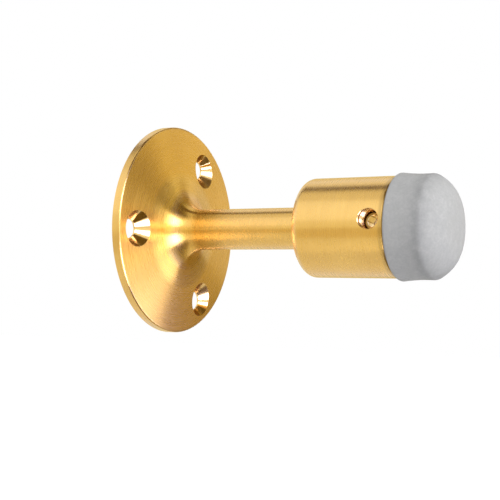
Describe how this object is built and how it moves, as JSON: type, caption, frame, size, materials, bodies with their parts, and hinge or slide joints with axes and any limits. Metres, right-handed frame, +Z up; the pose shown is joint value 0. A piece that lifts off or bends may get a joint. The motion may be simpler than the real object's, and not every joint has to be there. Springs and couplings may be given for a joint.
{
  "type": "wall door stop",
  "caption": "Wall door stop: round countersunk brass base plate flaring into a post and a thicker barrel that holds a domed rubber bumper.",
  "frame": {"origin": "centre of the base plate's flat back face, on the wall", "axes": "+X away from the wall along the post, +Z up, -Y towards the set screw's side"},
  "size_m": [0.09, 0.062, 0.062],
  "materials": {
    "satin_brass": "satin, brushed around the axis",
    "grey_rubber": "matte, moulded",
    "screw_brass": "machined"
  },
  "bodies": {
    "root": {"body": "satin_brass", "bumper": "grey_rubber", "set_screw": "screw_brass"}
  },
  "joints": []
}
